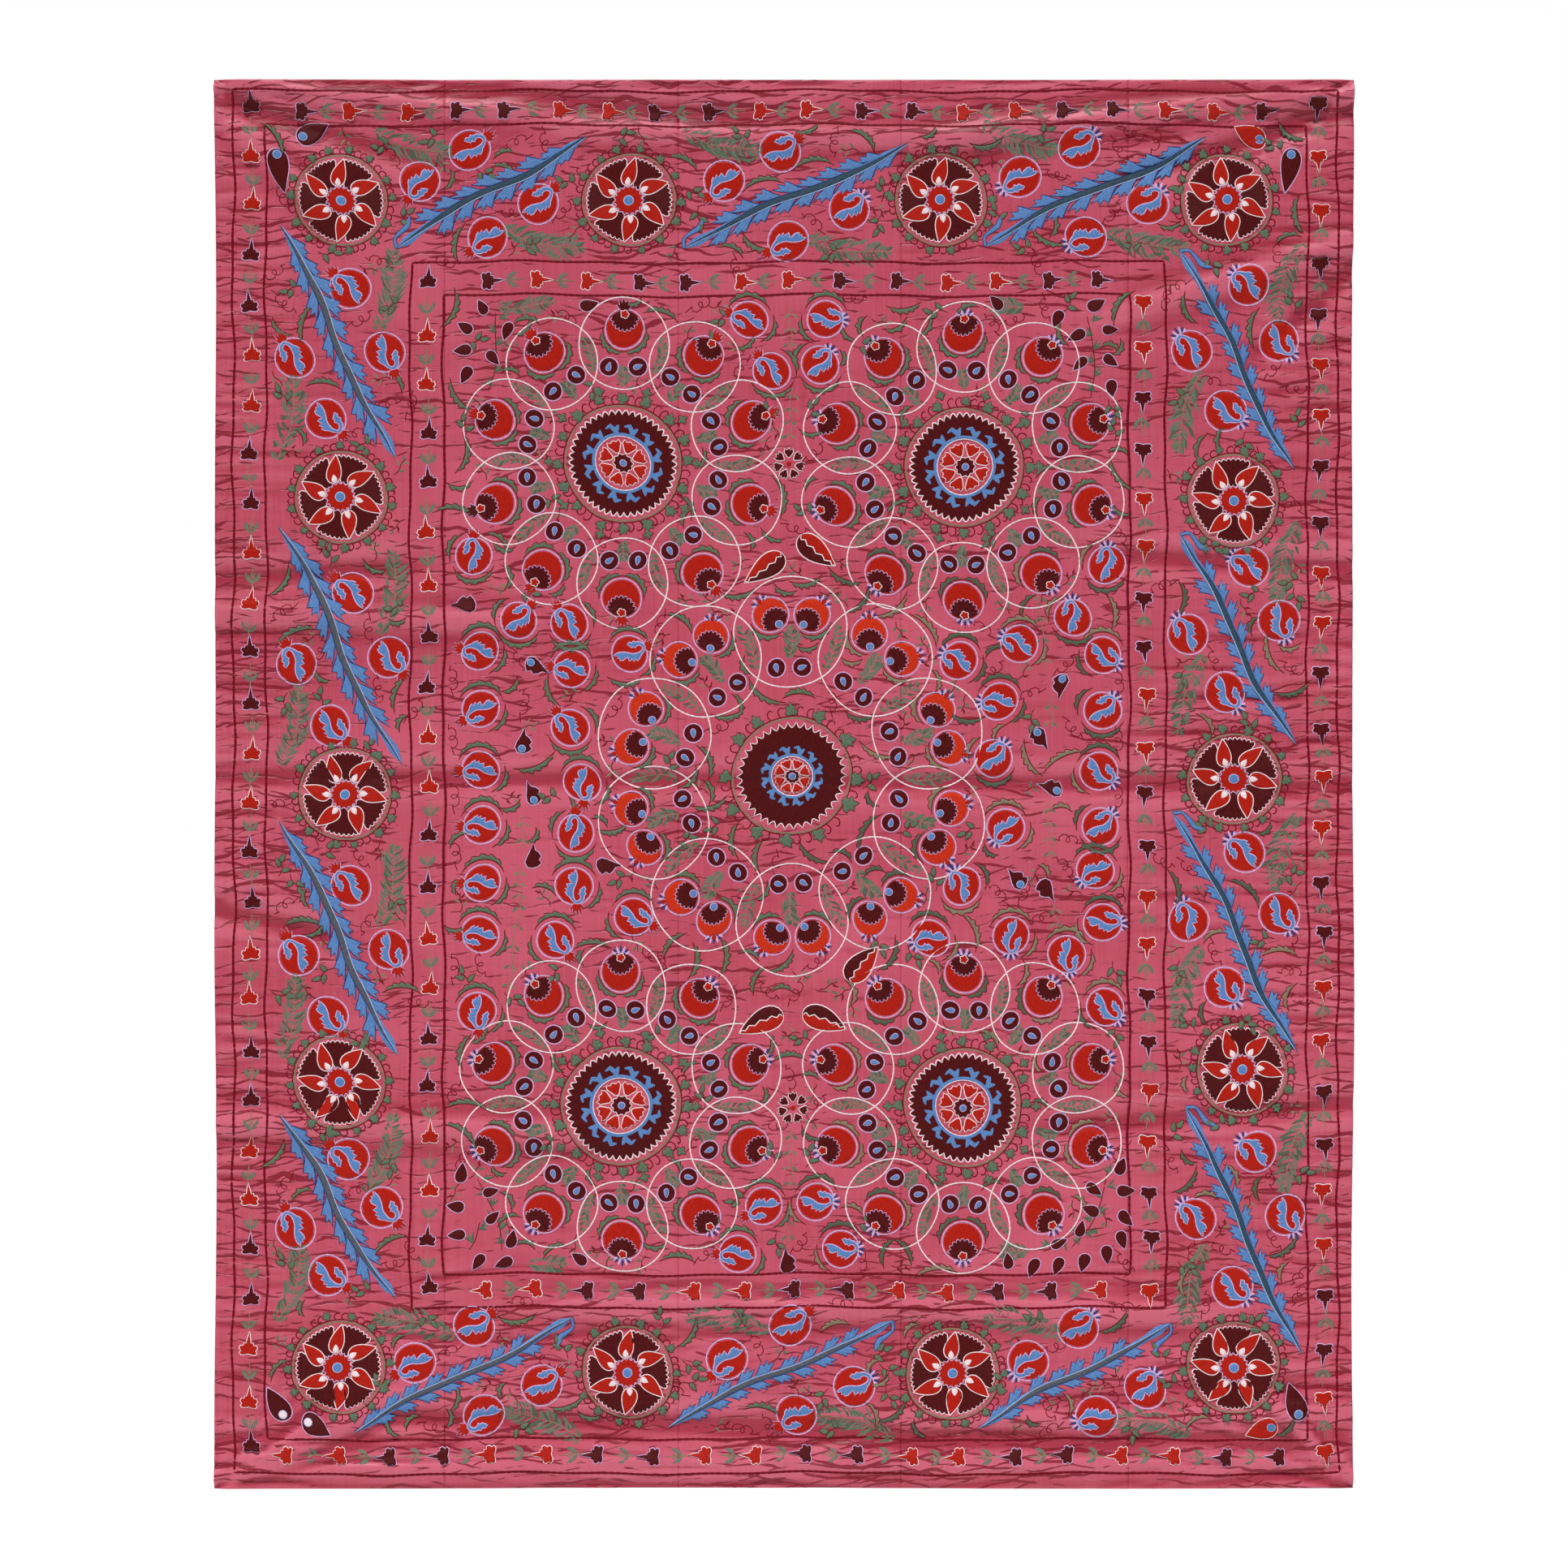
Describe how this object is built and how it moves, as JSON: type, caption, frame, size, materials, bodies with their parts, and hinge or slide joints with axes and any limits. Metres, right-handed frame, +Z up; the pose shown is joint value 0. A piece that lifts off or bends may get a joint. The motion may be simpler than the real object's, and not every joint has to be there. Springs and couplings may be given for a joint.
{
  "type": "embroidered silk wall hanging",
  "caption": "Large rectangular silk hanging of sewn strips with suzani embroidery of medallions, pomegranates and leaves, hung by its top edge.",
  "frame": {"origin": "middle of the top edge, on the cloth's middle surface, where the hanging is held", "axes": "+Z up along the drop, +X to the right as seen from the front, the embroidered face looks along -Y"},
  "size_m": [2.1, 0.0292, 2.6],
  "materials": {
    "silk_ground": "rose silk with a soft sheen, puckered between the stitching",
    "thread_red": "bright red silk thread in laid rows",
    "thread_maroon": "dark maroon silk thread in laid rows",
    "thread_blue": "sky blue silk thread in laid rows",
    "thread_slate": "slate grey silk thread in laid rows",
    "thread_green": "sage green silk thread, worked thinly",
    "thread_white": "off-white silk thread in chain stitch",
    "thread_lilac": "pale lilac silk thread in chain stitch",
    "thread_crimson": "dark crimson silk thread in chain stitch",
    "thread_navy": "navy silk thread in chain stitch"
  },
  "bodies": {
    "root": {"strip_far_left": "silk_ground", "strip_left": "silk_ground", "strip_middle": "silk_ground", "strip_right": "silk_ground", "strip_far_right": "silk_ground"}
  },
  "joints": []
}
